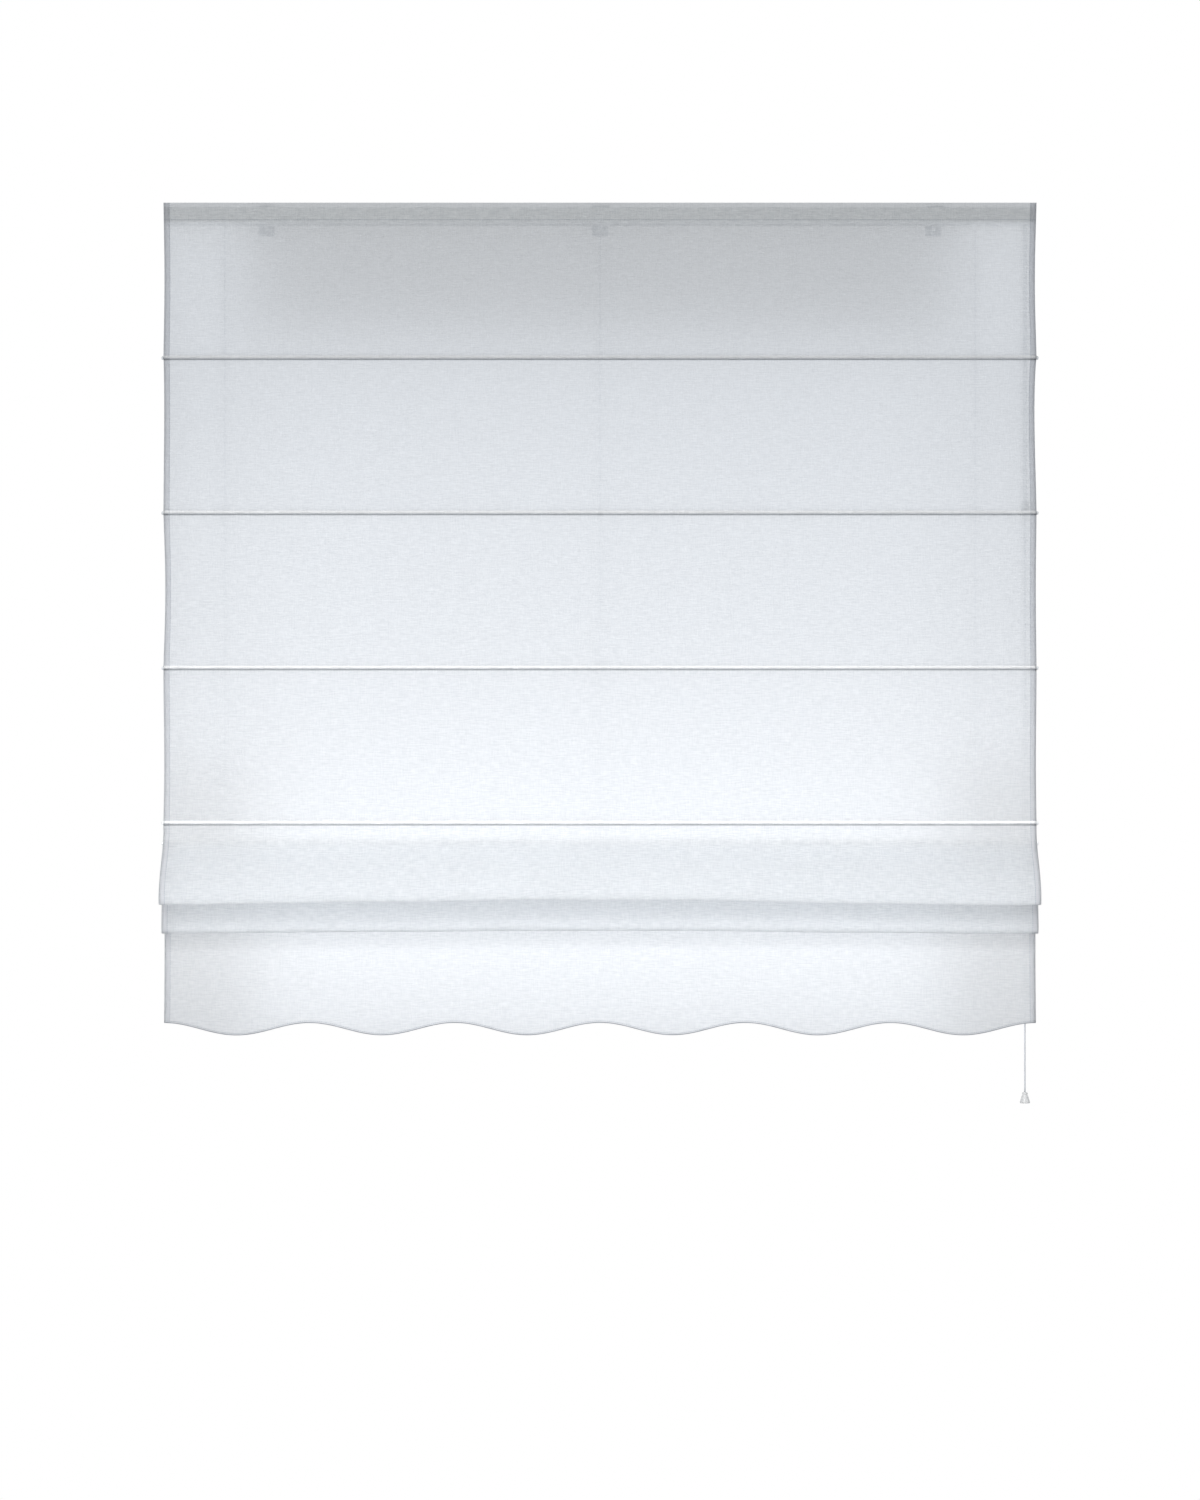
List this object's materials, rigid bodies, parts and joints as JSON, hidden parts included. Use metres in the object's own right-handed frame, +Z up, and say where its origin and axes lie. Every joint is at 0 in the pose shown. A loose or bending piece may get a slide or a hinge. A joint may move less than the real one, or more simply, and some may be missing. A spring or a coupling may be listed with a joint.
{
  "type": "roman blind",
  "caption": "Semi-sheer cord-operated roman blind with a scalloped hem, on a wall-bracketed head rail, its lower folds drawn up.",
  "frame": {"origin": "centre of the middle wall bracket's back face, on the wall", "axes": "+X to the right seen from the room, +Y into the wall, -Y into the room, +Z up"},
  "size_m": [1.3062, 0.0876, 1.342],
  "materials": {
    "rail_aluminium": "white powder coat",
    "white_plastic": "smooth moulded",
    "wheel_plastic": "smooth moulded",
    "bracket_steel": "zinc plated",
    "pin_steel": "bright",
    "hook_fabric": "woven tape with moulded hooks",
    "loop_fabric": "woven tape with loops",
    "voile": "semi-sheer linen-look weave",
    "rod_fibreglass": "drawn fibreglass",
    "clear_plastic": "clear moulded",
    "cord_fabric": "braided",
    "tassel_plastic": "white moulded"
  },
  "bodies": {
    "head": {"head_rail": "rail_aluminium", "end_cap_left": "white_plastic", "end_cap_right": "white_plastic", "hook_tape": "hook_fabric", "loop_tape": "loop_fabric", "lock_housing": "white_plastic", "lock_cam_pin": "pin_steel", "lock_pulley_pin": "pin_steel", "cloth_upper": "voile", "bracket_left": "bracket_steel", "cord_guide_left": "white_plastic", "guide_pin_left": "pin_steel", "lift_cord_left": "cord_fabric", "bracket_middle": "bracket_steel", "cord_guide_middle": "white_plastic", "guide_pin_middle": "pin_steel", "lift_cord_middle": "cord_fabric", "bracket_right": "bracket_steel", "cord_guide_right": "white_plastic", "guide_pin_right": "pin_steel", "lift_cord_right": "cord_fabric"},
    "rod_1_carrier": {"rod_1": "rod_fibreglass", "rod_tips_1": "clear_plastic", "rings_1": "clear_plastic"},
    "rod_2_carrier": {"rod_2": "rod_fibreglass", "rod_tips_2": "clear_plastic", "rings_2": "clear_plastic"},
    "rod_3_carrier": {"rod_3": "rod_fibreglass", "rod_tips_3": "clear_plastic", "rings_3": "clear_plastic"},
    "stack": {"cloth_lower": "voile", "cord_stops": "clear_plastic", "rod_4": "rod_fibreglass", "rod_tips_4": "clear_plastic", "rings_4": "clear_plastic", "rod_5": "rod_fibreglass", "rod_tips_5": "clear_plastic", "rings_5": "clear_plastic", "rod_6": "rod_fibreglass", "rod_tips_6": "clear_plastic", "rings_6": "clear_plastic"},
    "pull": {"cord_tails": "cord_fabric", "joiner_cap": "tassel_plastic", "joiner_cup": "tassel_plastic", "pull_cord": "cord_fabric", "tassel": "tassel_plastic"},
    "lock_cam": {"lock_cam": "pin_steel"},
    "lock_pulley": {"lock_pulley": "wheel_plastic"},
    "guide_wheel_left": {"guide_wheel_left": "wheel_plastic"},
    "clamp_left": {"clamp_left": "white_plastic"},
    "guide_wheel_middle": {"guide_wheel_middle": "wheel_plastic"},
    "clamp_middle": {"clamp_middle": "white_plastic"},
    "guide_wheel_right": {"guide_wheel_right": "wheel_plastic"},
    "clamp_right": {"clamp_right": "white_plastic"}
  },
  "joints": [
    {"name": "lift", "type": "slide", "parent": "head", "child": "stack", "axis": [0, 0, 1], "range_m": [0, 0.78], "deforming": ["cloth_upper", "lift_cord_left", "lift_cord_middle", "lift_cord_right"]},
    {"name": "rod_1_rise", "type": "slide", "parent": "head", "child": "rod_1_carrier", "axis": [0, 0, 1], "range_m": [0, 0.195]},
    {"name": "rod_2_rise", "type": "slide", "parent": "head", "child": "rod_2_carrier", "axis": [0, 0, 1], "range_m": [0, 0.39]},
    {"name": "rod_3_rise", "type": "slide", "parent": "head", "child": "rod_3_carrier", "axis": [0, 0, 1], "range_m": [0, 0.585]},
    {"name": "cord_drop", "type": "slide", "parent": "head", "child": "pull", "axis": [0, 0, -1], "range_m": [0, 0.78]},
    {"name": "guide_wheel_left_spin", "type": "hinge", "parent": "head", "child": "guide_wheel_left", "pos_m": [-0.55525, -0.0252, 0.005], "axis": [0, 1, 0], "continuous": true},
    {"name": "guide_wheel_middle_spin", "type": "hinge", "parent": "head", "child": "guide_wheel_middle", "pos_m": [0.00475, -0.0252, 0.003], "axis": [0, 1, 0], "continuous": true},
    {"name": "guide_wheel_right_spin", "type": "hinge", "parent": "head", "child": "guide_wheel_right", "pos_m": [0.56475, -0.0252, 0.001], "axis": [0, 1, 0], "continuous": true},
    {"name": "lock_pulley_spin", "type": "hinge", "parent": "head", "child": "lock_pulley", "pos_m": [0.62755, -0.0252, 0.001], "axis": [0, 1, 0], "continuous": true},
    {"name": "lock_cam_swing", "type": "hinge", "parent": "head", "child": "lock_cam", "pos_m": [0.60805, -0.0252, -0.0005], "axis": [0, 1, 0], "range_deg": [0, 35]},
    {"name": "clamp_left_turn", "type": "hinge", "parent": "head", "child": "clamp_left", "pos_m": [-0.5, -0.02, 0.021], "axis": [0, 0, -1], "range_deg": [0, 90]},
    {"name": "clamp_middle_turn", "type": "hinge", "parent": "head", "child": "clamp_middle", "pos_m": [0, -0.02, 0.021], "axis": [0, 0, -1], "range_deg": [0, 90]},
    {"name": "clamp_right_turn", "type": "hinge", "parent": "head", "child": "clamp_right", "pos_m": [0.5, -0.02, 0.021], "axis": [0, 0, -1], "range_deg": [0, 90]}
  ],
  "couplings": [
    {"joint": "rod_1_rise", "follows": "lift", "ratio": 0.25},
    {"joint": "rod_2_rise", "follows": "lift", "ratio": 0.5},
    {"joint": "rod_3_rise", "follows": "lift", "ratio": 0.75},
    {"joint": "cord_drop", "follows": "lift", "ratio": 1}
  ]
}
